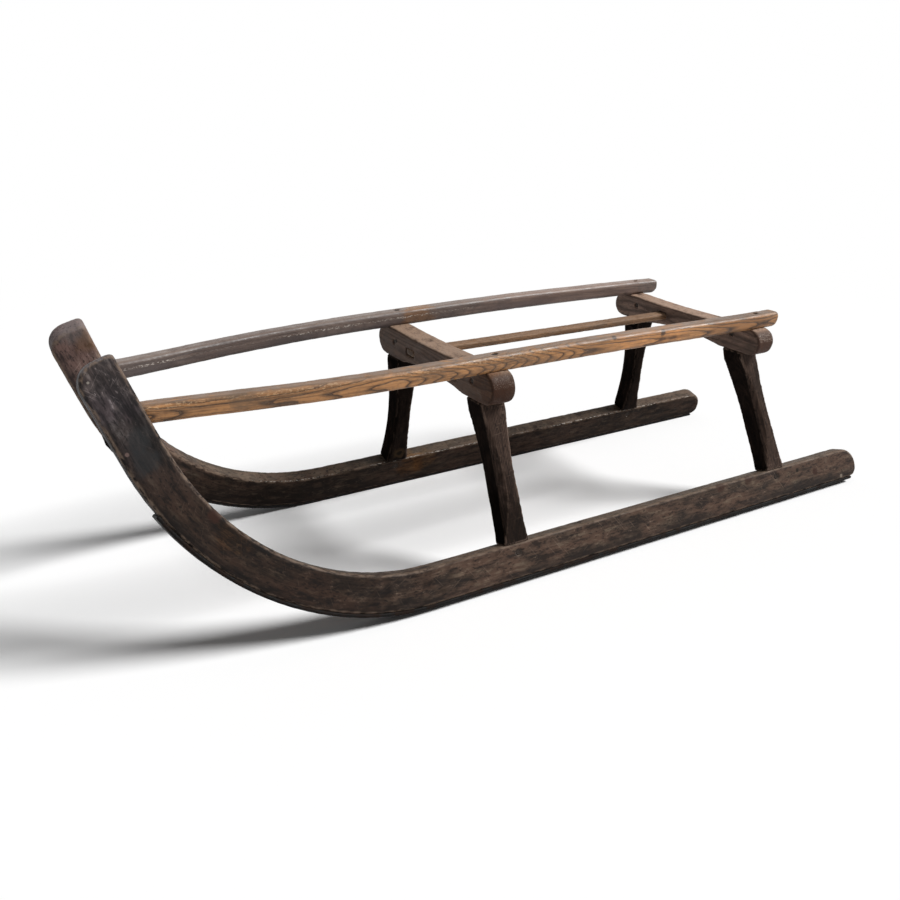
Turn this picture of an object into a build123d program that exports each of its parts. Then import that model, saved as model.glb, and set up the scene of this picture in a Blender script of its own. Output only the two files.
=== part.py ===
"""Old wooden sled, in millimetres: +X forward, +Y to the sled's left, +Z up from the floor.

Each side is one flat frame that leans inward: a plank runner that bends up into a tall upright, and two
legs. Two crossbars join the sides, two bent rails run from the uprights over the crossbars, and two thin
slats lie between the crossbars. Wooden pegs hold the joints, and an iron shoe covers each sole.
"""

import os
from math import cos, radians, sin, tan

from build123d import *

os.makedirs("parts", exist_ok=True)

# Stance
overall_length = 1040.8  # tails of the runners to the fronts of the uprights
track_half = 166.0  # middle of a sole from the centre line
splay = 17.0  # inward lean of a side frame, degrees from vertical

# Runner planks, drawn flat in the side frame
runner_thickness = 22.0
runner_depth = 42.0
upright_depth = 42.0
upright_lean = 19.5  # forward lean, degrees
upright_rise = 313.0  # front top corner above the shoe's underside
sole_radius = 314.0
crook_radius = 275.0
tip_front_radius = 22.0
tip_rear_radius = 5.0
tail_top_radius = 28.0
tail_bottom_radius = 12.0
runner_edge_chamfer = 2.0

# Iron shoes
shoe_thickness = 3.0
shoe_setback = 12.0  # bare wood behind the shoe's rear end
shoe_wrap = 61.5  # part of the bend that the shoe covers, degrees

# Crossbars
bar_underside = 211.0  # above the floor, at the legs
front_bar_height = 39.0
rear_bar_height = 34.0
front_bar_depth = 31.0
rear_bar_depth = 28.0
front_bar_half_length = 140.8
rear_bar_half_length = 144.3
bar_arch_half_span = 74.0
bar_arch_rise = 6.5
bar_dish_half_span = 96.0
bar_dish = 2.5
bar_edge_chamfer = 1.5
front_bar_x = 87.9
rear_bar_x = -322.9

# Legs
leg_foot_width = 32.0
leg_head_height = 12.0
leg_thickness = 31.0
leg_foot_thickness = 22.0
leg_taper_height = 58.0  # above the runner, where the full thickness begins
front_leg_rake = 8.5  # middle of the foot behind the middle of the crossbar
rear_leg_rake = 31.5
front_waist = 21.5
rear_waist = 17.0
leg_hollow_depth = 7.0  # stopped chamfer on the front outer corner, at its deepest

# Tenons of the legs
foot_tenon_width = 20.0
foot_tenon_thickness = 10.0
foot_tenon_length = 27.0
head_tenon_width = 18.0
head_tenon_thickness = 12.0
head_tenon_length = 25.0

# Side rails
rail_width = 20.0
rail_height = 18.5
rail_edge_chamfer = 2.8
rail_seat = 0.5  # let into the rail's underside over each crossbar
front_rail_y = 118.3  # middle of a rail from the centre line, over each crossbar
rear_rail_y = 119.3
rail_tip_y = 76.5  # where a rail's line ends, inside the upright
rail_tip_z = 254.5
rail_overhang = 36.0  # behind the middle of the rear crossbar
rail_end_inset = 1.5
rail_end_drop = 0.6
rail_nose_radius = 13.0  # rounding of the rear end, seen from the side
rail_nose_rise = 3.0  # middle of that rounding above the rail's middle line
rail_steps = 8  # sections along a rail's line
rail_tenon_width = 8.0
rail_tenon_height = 9.0
rail_tenon_length = 24.0

# Seat slats
slat_width = 19.0
slat_thickness = 8.0
slat_z = 228.7  # middle of a slat above the floor
slat_front_y = 51.6
slat_rear_y = 40.0
slat_edge_radius = 2.0
slat_housing = 12.0  # depth of a slat's seat in the rear crossbar
front_slat_slack = 2.0  # worn room beside and below a slat in the front crossbar

# Pegs and joint play
foot_peg_diameter = 8.0
foot_peg_drop = 11.0  # below the runner's top edge
head_peg_diameter = 7.0
head_peg_rise = 21.5  # above the crossbar's underside
rail_peg_diameter = 8.0
rail_peg_depth = 20.0  # reach into the crossbar
joint_gap = 0.15

HANDS = {"left": 1, "right": -1}
# End of the sled: middle, height, depth and half length of the crossbar, middle of the rail over it
BARS = {
    "front": (front_bar_x, front_bar_height, front_bar_depth, front_bar_half_length, front_rail_y),
    "rear": (rear_bar_x, rear_bar_height, rear_bar_depth, rear_bar_half_length, rear_rail_y),
}
# End of the sled: middle of the foot, width at the waist
LEGS = {
    "front": (front_bar_x - front_leg_rake, front_waist),
    "rear": (rear_bar_x - rear_leg_rake, rear_waist),
}
SLAT_SLACK = {"front": front_slat_slack, "rear": joint_gap}

lean_sin = sin(radians(upright_lean))
lean_cos = cos(radians(upright_lean))
splay_sin = sin(radians(splay))
splay_cos = cos(radians(splay))

# Height of the side frame's own zero line: the inner edge of each shoe then stands on the floor
frame_rise = runner_thickness / 2 * splay_sin
front_rail_z = bar_underside + front_bar_height - rail_seat + rail_height / 2
rear_rail_z = bar_underside + rear_bar_height - rail_seat + rail_height / 2


def side_plane(hand):
    """Middle plane of a side frame: local x forward, local y up the lean."""
    return Plane(
        origin=(0, hand * track_half, frame_rise),
        x_dir=(1, 0, 0),
        z_dir=(0, -splay_cos, -hand * splay_sin),
    )


def edge_plane(hand):
    """Plane across a side frame: local x through its thickness, local y up the lean."""
    return Plane(origin=side_plane(hand).origin, x_dir=side_plane(hand).z_dir, z_dir=(-1, 0, 0))


def frame_height(z):
    """Distance up the lean of the point of the middle plane that is z above the floor."""
    return (z - frame_rise) / splay_cos


def frame_y(z):
    """Distance of the middle plane from the centre line, at z above the floor."""
    return track_half - frame_height(z) * splay_sin


# Corners of the runner's outline before its bends and ends are rounded
runner_top = shoe_thickness + runner_depth
tail_x = -overall_length / 2
tip_front = (overall_length / 2 + tip_front_radius * (lean_sin + lean_cos - 1), upright_rise)
tip_rear = (tip_front[0] - upright_depth * lean_cos, upright_rise + upright_depth * lean_sin)
sole_corner_x = tip_front[0] - (upright_rise - shoe_thickness) * tan(radians(upright_lean))
crook_corner_x = tip_rear[0] - (tip_rear[1] - runner_top) * tan(radians(upright_lean))
sole_bend_x = sole_corner_x - sole_radius * tan(radians(90 - upright_lean) / 2)
sole_centre = (sole_bend_x, shoe_thickness + sole_radius)

# Where a rail meets the rear face of its upright
rail_joint_x = tip_rear[0] - (tip_rear[1] - frame_height(rail_tip_z)) * tan(radians(upright_lean))
rail_joint_y = (rail_tip_y + frame_y(rail_tip_z)) / 2
rail_end_x = rear_bar_x - rail_overhang

# Ends of the middle line of a left rail, and its points over the crossbars
rail_end = Vector(rail_end_x, rear_rail_y - rail_end_inset, rear_rail_z - rail_end_drop)
rail_rear = Vector(rear_bar_x, rear_rail_y, rear_rail_z)
rail_front = Vector(front_bar_x, front_rail_y, front_rail_z)
rail_tip = Vector(rail_joint_x + upright_depth / 2, rail_tip_y, rail_tip_z)

# Points of the line between these: from, to, share of the way, bulge outward, bulge upward
RAIL_BULGES = [
    (rail_rear, rail_front, 0.5, 2.4, 1.2),
    (rail_front, rail_tip, 0.5, 10.6, 0.6),
    (rail_front, rail_tip, 0.75, 4.0, 0.2),
]
bulges = [near + (far - near) * share + Vector(0, out, up) for near, far, share, out, up in RAIL_BULGES]
rail_line = [rail_end, rail_rear, bulges[0], rail_front, bulges[1], bulges[2], rail_tip]


def slat_outline(hand, front_x, rear_x, inner, outer):
    """Corners in plan of a slat, or of its housing, by its reach to each side of the slat's middle."""
    slope = (slat_front_y - slat_rear_y) / (slat_front_x - slat_rear_x)
    front_y = slat_rear_y + slope * (front_x - slat_rear_x)
    rear_y = slat_rear_y + slope * (rear_x - slat_rear_x)
    return [
        (front_x, hand * (front_y - inner)),
        (front_x, hand * (front_y + outer)),
        (rear_x, hand * (rear_y + outer)),
        (rear_x, hand * (rear_y - inner)),
    ]


foot_tenon_middle = runner_top - foot_tenon_length / 2
head_shoulder = frame_height(bar_underside)
foot_peg_height = runner_top - foot_peg_drop
head_peg_z = bar_underside + head_peg_rise
half_slat = slat_width / 2
slat_front_x = front_bar_x + front_bar_depth / 2
slat_rear_x = rear_bar_x + rear_bar_depth / 2 - slat_housing

for side, hand in HANDS.items():
    frame = side_plane(hand)

    # Runner: one plank from the rounded tail, along the floor and up to the tip of the upright
    with BuildPart() as runner:
        with BuildSketch(frame):
            with BuildLine():
                FilletPolyline(
                    (tail_x, shoe_thickness),
                    (sole_corner_x, shoe_thickness),
                    tip_front,
                    tip_rear,
                    (crook_corner_x, runner_top),
                    (tail_x, runner_top),
                    radius=[
                        tail_bottom_radius,
                        sole_radius,
                        tip_front_radius,
                        tip_rear_radius,
                        crook_radius,
                        tail_top_radius,
                    ],
                    close=True,
                )
            make_face()
        extrude(amount=runner_thickness / 2, both=True)
        broad_faces = runner.faces().sort_by(SortBy.AREA)[-2:]
        chamfer(broad_faces.edges(), runner_edge_chamfer)
        with BuildSketch(frame):
            for foot_x, waist in LEGS.values():
                with Locations((foot_x, foot_tenon_middle)):
                    Rectangle(foot_tenon_width + 2 * joint_gap, foot_tenon_length + 2 * joint_gap)
        extrude(amount=foot_tenon_thickness / 2 + joint_gap, both=True, mode=Mode.SUBTRACT)
        with BuildSketch(frame):
            with Locations(*[(foot_x, foot_peg_height) for foot_x, waist in LEGS.values()]):
                Circle(foot_peg_diameter / 2 + joint_gap)
        extrude(amount=runner_thickness, both=True, mode=Mode.SUBTRACT)
        with BuildSketch(Plane.YZ.offset(rail_joint_x - rail_tenon_length)):
            with Locations((hand * rail_joint_y, rail_tip_z)):
                Rectangle(rail_tenon_width + 2 * joint_gap, rail_tenon_height + 2 * joint_gap)
        extrude(amount=2 * rail_tenon_length + joint_gap, mode=Mode.SUBTRACT)
    runner.part.label = f"runner_{side}"
    export_step(runner.part, f"parts/runner_{side}.step")

    # Iron shoe: a strip under the sole and part of the way up the bend
    with BuildPart() as shoe:
        with BuildSketch(frame):
            with BuildLine():
                wear = CenterArc(sole_centre, sole_radius + shoe_thickness, 270, shoe_wrap)
                seat = CenterArc(sole_centre, sole_radius, 270, shoe_wrap)
                Line(wear @ 1, seat @ 1)
                Polyline(
                    seat @ 0,
                    (tail_x + shoe_setback, shoe_thickness),
                    (tail_x + shoe_setback, 0),
                    wear @ 0,
                )
            make_face()
        extrude(amount=runner_thickness / 2, both=True)
    shoe.part.label = f"shoe_{side}"
    export_step(shoe.part, f"parts/shoe_{side}.step")

    # Legs: waisted posts, tenoned down into the runner and up into a crossbar
    for end, (foot_x, waist) in LEGS.items():
        head_x, bar_height, bar_depth, half_length, rail_y = BARS[end]
        bar_top = bar_underside + bar_height
        neck = head_shoulder - leg_head_height
        top = head_shoulder + leg_thickness
        middle_x = (foot_x + head_x) / 2
        middle = (runner_top + neck) / 2
        with BuildPart() as leg:
            with BuildSketch(frame):
                with BuildLine():
                    front = ThreePointArc(
                        (foot_x + leg_foot_width / 2, runner_top),
                        (middle_x + waist / 2, middle),
                        (head_x + bar_depth / 2, neck),
                    )
                    rear = ThreePointArc(
                        (foot_x - leg_foot_width / 2, runner_top),
                        (middle_x - waist / 2, middle),
                        (head_x - bar_depth / 2, neck),
                    )
                    Line(front @ 0, rear @ 0)
                    Polyline(
                        front @ 1,
                        (head_x + bar_depth / 2, top),
                        (head_x - bar_depth / 2, top),
                        rear @ 1,
                    )
                make_face()
            extrude(amount=leg_thickness / 2, both=True)
            with BuildSketch(edge_plane(hand)):
                with BuildLine():
                    Polyline(
                        (-leg_foot_thickness / 2, runner_top),
                        (leg_foot_thickness / 2, runner_top),
                        (leg_thickness / 2, runner_top + leg_taper_height),
                        (leg_thickness / 2, top),
                        (-leg_thickness / 2, top),
                        (-leg_thickness / 2, runner_top + leg_taper_height),
                        close=True,
                    )
                make_face()
            extrude(amount=overall_length, both=True, mode=Mode.INTERSECT)
            split(bisect_by=Plane.XY.offset(bar_underside), keep=Keep.BOTTOM)
            outer = -hand * frame.z_dir
            foot_corner = frame.from_local_coords(
                (foot_x + leg_foot_width / 2, runner_top, -hand * leg_foot_thickness / 2)
            )
            head_corner = frame.from_local_coords(
                (head_x + bar_depth / 2, neck, -hand * leg_thickness / 2)
            )
            run = head_corner - foot_corner
            inward = -outer - frame.x_dir
            with BuildSketch(Plane(origin=foot_corner, x_dir=run, z_dir=run.cross(inward))):
                with BuildLine():
                    hollow = ThreePointArc((0, 0), (run.length / 2, leg_hollow_depth), (run.length, 0))
                    Polyline(
                        hollow @ 1,
                        (run.length, -leg_thickness),
                        (0, -leg_thickness),
                        hollow @ 0,
                    )
                make_face()
            extrude(amount=leg_thickness, both=True, mode=Mode.SUBTRACT)
            with BuildSketch(frame):
                with Locations((foot_x, foot_tenon_middle)):
                    Rectangle(foot_tenon_width, foot_tenon_length)
            extrude(amount=foot_tenon_thickness / 2, both=True)
            with BuildSketch(frame):
                with Locations((head_x, head_shoulder)):
                    Rectangle(head_tenon_width, 2 * head_tenon_length)
            extrude(amount=head_tenon_thickness / 2, both=True)
            with BuildSketch(frame):
                with Locations((foot_x, foot_peg_height)):
                    Circle(foot_peg_diameter / 2 + joint_gap)
            extrude(amount=runner_thickness, both=True, mode=Mode.SUBTRACT)
            with BuildSketch(Plane.YZ.offset(head_x)):
                with Locations((hand * frame_y(head_peg_z), head_peg_z)):
                    Circle(head_peg_diameter / 2 + joint_gap)
            extrude(amount=bar_depth, both=True, mode=Mode.SUBTRACT)
        leg.part.label = f"leg_{end}_{side}"
        export_step(leg.part, f"parts/leg_{end}_{side}.step")

        with BuildPart() as foot_peg:
            with BuildSketch(frame):
                with Locations((foot_x, foot_peg_height)):
                    Circle(foot_peg_diameter / 2)
            extrude(amount=runner_thickness / 2, both=True)
        foot_peg.part.label = f"foot_peg_{end}_{side}"
        export_step(foot_peg.part, f"parts/foot_peg_{end}_{side}.step")

        with BuildPart() as head_peg:
            with BuildSketch(Plane.YZ.offset(head_x)):
                with Locations((hand * frame_y(head_peg_z), head_peg_z)):
                    Circle(head_peg_diameter / 2)
            extrude(amount=bar_depth / 2, both=True)
        head_peg.part.label = f"head_peg_{end}_{side}"
        export_step(head_peg.part, f"parts/head_peg_{end}_{side}.step")

        with BuildPart() as rail_peg:
            with BuildSketch(Plane.XY.offset(bar_top - rail_peg_depth)):
                with Locations((head_x, hand * rail_y)):
                    Circle(rail_peg_diameter / 2)
            extrude(amount=rail_peg_depth - rail_seat + rail_height)
        rail_peg.part.label = f"rail_peg_{end}_{side}"
        export_step(rail_peg.part, f"parts/rail_peg_{end}_{side}.step")

    # Side rail: bent inward to the upright and tenoned into it, seated and pegged on the crossbars
    rear_face = Plane(
        origin=(rail_joint_x, hand * frame_y(rail_tip_z), rail_tip_z),
        z_dir=(lean_cos, hand * lean_sin * splay_sin, -lean_sin * splay_cos),
    )
    with BuildPart() as rail:
        with BuildLine():
            bend = Spline(*[(point.X, hand * point.Y, point.Z) for point in rail_line])
        for step in range(rail_steps + 1):
            share = step / rail_steps
            with BuildSketch(Plane(origin=bend @ share, x_dir=(0, 1, 0), z_dir=bend % share)):
                section = Rectangle(rail_width, rail_height)
                chamfer(section.vertices(), rail_edge_chamfer)
        loft()
        with BuildSketch(Plane.XZ):
            with Locations((rail_end_x, rail_end.Z + rail_nose_rise)):
                Rectangle(2 * rail_nose_radius, 4 * rail_nose_radius)
            with Locations((rail_end_x + rail_nose_radius, rail_end.Z + rail_nose_rise)):
                Circle(rail_nose_radius, mode=Mode.SUBTRACT)
        extrude(amount=overall_length, both=True, mode=Mode.SUBTRACT)
        split(bisect_by=rear_face, keep=Keep.BOTTOM)
        with BuildSketch(Plane.YZ.offset(rail_joint_x - rail_tenon_length)):
            with Locations((hand * rail_joint_y, rail_tip_z)):
                Rectangle(rail_tenon_width, rail_tenon_height)
        extrude(amount=2 * rail_tenon_length)
        for bar_x, bar_height, bar_depth, half_length, rail_y in BARS.values():
            with BuildSketch(Plane.XY.offset(bar_underside + bar_height)):
                with Locations((bar_x, hand * rail_y)):
                    Rectangle(bar_depth, 2 * rail_width)
            extrude(amount=-rail_height, mode=Mode.SUBTRACT)
            with BuildSketch(Plane.XY.offset(bar_underside + bar_height)):
                with Locations((bar_x, hand * rail_y)):
                    Circle(rail_peg_diameter / 2 + joint_gap)
            extrude(amount=2 * rail_height, mode=Mode.SUBTRACT)
    rail.part.label = f"rail_{side}"
    export_step(rail.part, f"parts/rail_{side}.step")

    # Seat slat: through the front crossbar, and housed in the rear one
    with BuildPart() as slat:
        with BuildSketch(Plane.XY.offset(slat_z)):
            with BuildLine():
                Polyline(*slat_outline(hand, slat_front_x, slat_rear_x, half_slat, half_slat), close=True)
            make_face()
        extrude(amount=slat_thickness / 2, both=True)
        fillet(slat.edges().group_by(SortBy.LENGTH)[-1], slat_edge_radius)
    slat.part.label = f"slat_{side}"
    export_step(slat.part, f"parts/slat_{side}.step")

# Crossbars: half-round ends, an arched underside and a top worn hollow between the rails
for end, (bar_x, bar_height, bar_depth, half_length, rail_y) in BARS.items():
    slack = SLAT_SLACK[end]
    bar_top = bar_underside + bar_height
    end_radius = bar_height / 2
    end_y = half_length - end_radius
    bar_middle = bar_underside + end_radius
    with BuildPart() as bar:
        with BuildSketch(Plane.YZ.offset(bar_x)):
            with BuildLine():
                for hand in HANDS.values():
                    Line((hand * bar_arch_half_span, bar_underside), (hand * end_y, bar_underside))
                    ThreePointArc(
                        (hand * end_y, bar_underside),
                        (hand * half_length, bar_middle),
                        (hand * end_y, bar_top),
                    )
                    Line((hand * end_y, bar_top), (hand * bar_dish_half_span, bar_top))
                ThreePointArc(
                    (-bar_arch_half_span, bar_underside),
                    (0, bar_underside + bar_arch_rise),
                    (bar_arch_half_span, bar_underside),
                )
                ThreePointArc(
                    (-bar_dish_half_span, bar_top),
                    (0, bar_top - bar_dish),
                    (bar_dish_half_span, bar_top),
                )
            make_face()
        extrude(amount=bar_depth / 2, both=True)
        bar_faces = bar.faces().sort_by(Axis.X)
        chamfer(bar_faces[0].edges() + bar_faces[-1].edges(), bar_edge_chamfer)
        for hand in HANDS.values():
            with BuildSketch(side_plane(hand)):
                with Locations((bar_x, head_shoulder)):
                    Rectangle(head_tenon_width + 2 * joint_gap, 2 * (head_tenon_length + joint_gap))
            extrude(amount=head_tenon_thickness / 2 + joint_gap, both=True, mode=Mode.SUBTRACT)
            with BuildSketch(Plane.YZ.offset(bar_x)):
                with Locations((hand * frame_y(head_peg_z), head_peg_z)):
                    Circle(head_peg_diameter / 2 + joint_gap)
            extrude(amount=bar_depth, both=True, mode=Mode.SUBTRACT)
            with BuildSketch(Plane.XY.offset(bar_top - rail_peg_depth - joint_gap)):
                with Locations((bar_x, hand * rail_y)):
                    Circle(rail_peg_diameter / 2 + joint_gap)
            extrude(amount=bar_height, mode=Mode.SUBTRACT)
            with BuildSketch(Plane.XY.offset(slat_z - slat_thickness / 2 - slack)):
                with BuildLine():
                    housing = slat_outline(
                        hand,
                        slat_front_x + bar_depth,
                        slat_rear_x - joint_gap,
                        half_slat + joint_gap,
                        half_slat + slack,
                    )
                    Polyline(*housing, close=True)
                make_face()
            extrude(amount=slat_thickness + slack + joint_gap, mode=Mode.SUBTRACT)
    bar.part.label = f"crossbar_{end}"
    export_step(bar.part, f"parts/crossbar_{end}.step")
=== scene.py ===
"""Looks of an old wooden sled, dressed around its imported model, in metres: +X forward, +Y left, +Z up.

Each wooden piece is a worn copy of its solid: an even skin with softened and chipped edges, and grain
that follows the stick. The iron shoes are forged strips held by nails, and whittled pegs sit a little
below the wood.
"""

import logging
import math
from dataclasses import dataclass, field, replace
from enum import Enum

import bmesh
import bpy
import numpy as np
from mathutils import Matrix, Vector, noise
from mathutils.bvhtree import BVHTree


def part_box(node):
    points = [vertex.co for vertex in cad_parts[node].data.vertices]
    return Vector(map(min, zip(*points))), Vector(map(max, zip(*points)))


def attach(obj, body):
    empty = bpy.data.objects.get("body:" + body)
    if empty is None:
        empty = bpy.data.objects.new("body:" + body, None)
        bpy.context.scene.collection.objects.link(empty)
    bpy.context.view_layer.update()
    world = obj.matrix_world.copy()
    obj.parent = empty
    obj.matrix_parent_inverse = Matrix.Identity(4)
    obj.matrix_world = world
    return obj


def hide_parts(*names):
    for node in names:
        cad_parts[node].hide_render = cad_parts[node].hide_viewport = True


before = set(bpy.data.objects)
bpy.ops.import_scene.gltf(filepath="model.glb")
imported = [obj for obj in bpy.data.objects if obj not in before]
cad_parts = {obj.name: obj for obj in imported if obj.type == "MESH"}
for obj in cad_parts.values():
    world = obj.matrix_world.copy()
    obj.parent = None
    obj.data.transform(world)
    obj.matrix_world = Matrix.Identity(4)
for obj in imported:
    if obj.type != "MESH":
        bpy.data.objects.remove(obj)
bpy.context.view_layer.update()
log = logging.getLogger("sled")

Colour = tuple[float, float, float]
Place = tuple[float, float, float]
Socket = bpy.types.NodeSocket
Inputs = dict[str | int, object]

ROOT = "root"
WELD = 1e-5
FINE_VOXEL = 0.0012


class Hand(Enum):
    """Side of the sled, with the sign of its Y."""

    LEFT = 1
    RIGHT = -1

    @property
    def word(self) -> str:
        """The side's name in the nodes' names."""
        return self.name.lower()


class End(Enum):
    """End of the sled that a leg, crossbar or peg belongs to."""

    FRONT = "front"
    REAR = "rear"


@dataclass
class Graph:
    """Short ways to add and join the nodes of one material."""

    tree: bpy.types.ShaderNodeTree

    def add(self, kind: str, inputs: Inputs | None = None, **settings: object) -> bpy.types.ShaderNode:
        """Add a node, set its properties and fill its inputs.

        Args:
            kind: Blender's type name of the node.
            inputs: sockets or plain values, by the inputs' names or numbers.
            **settings: properties of the node.

        Returns:
            The new node.
        """
        made = self.tree.nodes.new(kind)
        for name, value in settings.items():
            setattr(made, name, value)
        self.fill(made, inputs or {})
        return made

    def fill(self, node: bpy.types.ShaderNode, inputs: Inputs) -> None:
        """Link a node's inputs to other sockets, or set them to plain values."""
        for name, value in inputs.items():
            if isinstance(value, Socket):
                self.tree.links.new(value, node.inputs[name])
            else:
                node.inputs[name].default_value = value

    def math(self, operation: str, first: object, second: object = 0.0) -> Socket:
        """Combine two numbers or sockets with a Math node."""
        return self.add("ShaderNodeMath", {0: first, 1: second}, operation=operation).outputs[0]

    def product(self, *factors: object) -> Socket:
        """Multiply two or more numbers or sockets."""
        result = factors[0]
        for factor in factors[1:]:
            result = self.math("MULTIPLY", result, factor)
        return result

    def spread(
        self, value: Socket, low: float, high: float, to_low: float = 0.0, to_high: float = 1.0
    ) -> Socket:
        """Map a value from one range to another, smoothly and clamped.

        Args:
            value: the socket to map.
            low: start of its range.
            high: end of its range.
            to_low: result at the start.
            to_high: result at the end.

        Returns:
            The mapped value.
        """
        limits = {"From Min": low, "From Max": high, "To Min": to_low, "To Max": to_high}
        made = self.add("ShaderNodeMapRange", {"Value": value, **limits}, interpolation_type="SMOOTHSTEP")
        return made.outputs[0]

    def attribute(self, name: str, output: str = "Fac") -> Socket:
        """A piece's own value or vector at the surface."""
        return self.add("ShaderNodeAttribute", attribute_name=name).outputs[output]

    def axes(self, vector: Socket) -> tuple[Socket, ...]:
        """Split a vector into its three numbers."""
        return tuple(self.add("ShaderNodeSeparateXYZ", {0: vector}).outputs)

    def noise(self, vector: Socket, scale: Place, detail: float = 2.0, shift: float = 0.0) -> Socket:
        """Noise from 0 to 1 at so many cycles per metre along each axis.

        Args:
            vector: coordinates in metres.
            scale: cycles per metre along each axis.
            detail: number of finer layers.
            shift: place in the noise, so that two patterns differ.

        Returns:
            The noise value.
        """
        start = (shift, 1.7 * shift, 0.6 * shift)
        stretch = self.add("ShaderNodeMapping", {"Vector": vector, "Location": start, "Scale": scale})
        inputs = {"Vector": stretch.outputs[0], "Scale": 1.0, "Detail": detail, "Roughness": 0.58}
        return self.add("ShaderNodeTexNoise", inputs).outputs["Fac"]

    def ramp(self, value: Socket, stops: list[tuple[float, Colour]]) -> Socket:
        """Colour ramp through the given stops."""
        made = self.add("ShaderNodeValToRGB", {0: value})
        elements = made.color_ramp.elements
        while len(elements) < len(stops):
            elements.new(1.0)
        for element, (place, colour) in zip(elements, stops):
            element.position = place
            element.color = (*colour, 1.0)
        return made.outputs["Color"]

    def mix(self, share: object, first: object, second: object, blend: str = "MIX") -> Socket:
        """Blend two colours.

        Args:
            share: how much of the second colour.
            first: colour or socket.
            second: colour or socket.
            blend: Blender's name of the blend.

        Returns:
            The blended colour.
        """
        pair = [colour if isinstance(colour, Socket) else (*colour, 1.0) for colour in (first, second)]
        inputs = {0: share, 6: pair[0], 7: pair[1]}
        return self.add("ShaderNodeMix", inputs, data_type="RGBA", blend_type=blend).outputs[2]

    def bump(self, height: Socket, depth: float) -> Socket:
        """Normal of a surface with this relief, of so many metres."""
        inputs = {"Strength": 0.7, "Distance": depth, "Height": height}
        return self.add("ShaderNodeBump", inputs).outputs["Normal"]


def surface(name: str) -> tuple[bpy.types.Material, Graph, bpy.types.ShaderNode]:
    """Start a material.

    Args:
        name: the material's name.

    Returns:
        The material, its graph and its Principled shader.
    """
    made = bpy.data.materials.new(name)
    made.use_nodes = True
    graph = Graph(made.node_tree)
    return made, graph, made.node_tree.nodes["Principled BSDF"]


@dataclass(frozen=True)
class Mark:
    """A stain, knot, nail hole, chip or painted shadow at one place of the sled."""

    place: Place
    radius: float
    colour: Colour
    share: float = 0.85


@dataclass(frozen=True)
class Shade(Mark):
    """A broad darker or lighter place, whose colour multiplies the wood's."""

    share: float = 1.0


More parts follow.
